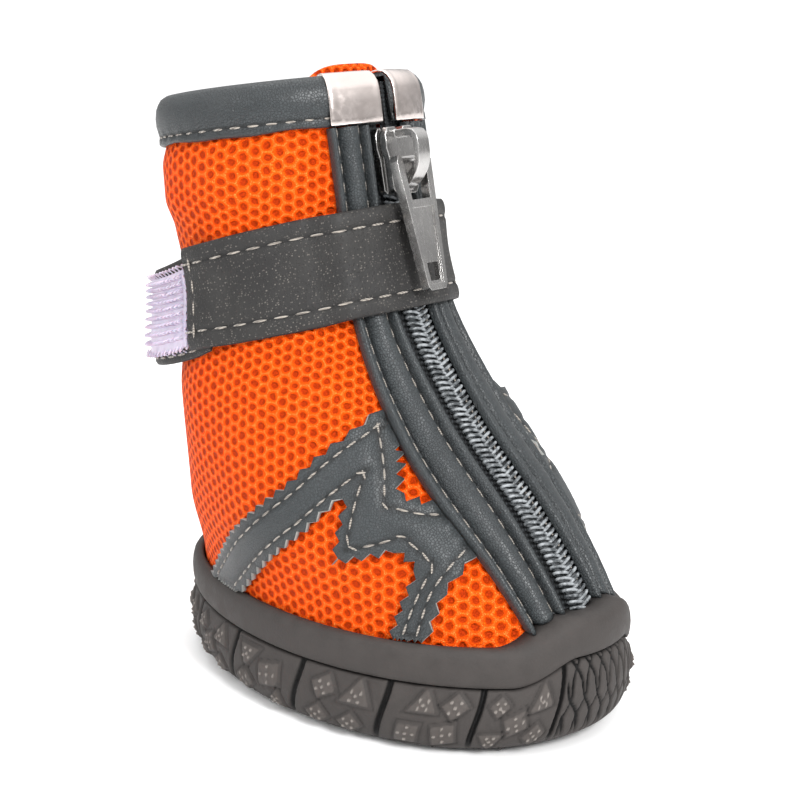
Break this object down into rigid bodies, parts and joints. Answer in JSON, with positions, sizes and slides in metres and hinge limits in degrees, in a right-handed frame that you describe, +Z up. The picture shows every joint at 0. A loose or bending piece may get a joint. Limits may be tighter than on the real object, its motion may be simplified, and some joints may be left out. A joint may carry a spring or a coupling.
{
  "type": "dog boot",
  "caption": "Ankle-high dog boot with a rubber cup sole, air mesh upper, front zip between leatherette facings, bound collar and a hook-and-loop strap.",
  "frame": {"origin": "on the floor plane under the middle of the sole, on the tread's central lug", "axes": "+Z up, -Y towards the toe, -X towards the boot's own right, where the strap closes"},
  "size_m": [0.0478, 0.0773, 0.0896],
  "materials": {
    "rubber": "moulded, matt",
    "insole_foam": "cloth-faced foam",
    "air_mesh": "knitted spacer mesh",
    "leatherette": "satin, coated cloth",
    "zip_tape": "woven",
    "zip_coil": "nylon coil",
    "plated_metal": "nickel plate, bright",
    "webbing": "fine-grained coated band",
    "hook_tape": "hook-and-loop tape, hook side"
  },
  "bodies": {
    "boot": {"outsole": "rubber", "insole": "insole_foam", "upper": "air_mesh", "tongue": "air_mesh", "collar_binding": "leatherette", "facing_right": "leatherette", "facing_left": "leatherette", "overlay_right": "leatherette", "overlay_left": "leatherette", "zip_tape": "zip_tape", "zip_coil": "zip_coil", "zip_slider": "plated_metal", "clip_right": "plated_metal", "clip_left": "plated_metal", "strap": "webbing", "strap_tail": "webbing", "hook_patch": "hook_tape"},
    "pull_tab": {"pull_tab": "plated_metal"}
  },
  "joints": [
    {"name": "pull_tab_swing", "type": "hinge", "parent": "boot", "child": "pull_tab", "pos_m": [0, -0.00265, 0.07676], "axis": [-1, 0, 0], "range_deg": [0, 150]}
  ]
}
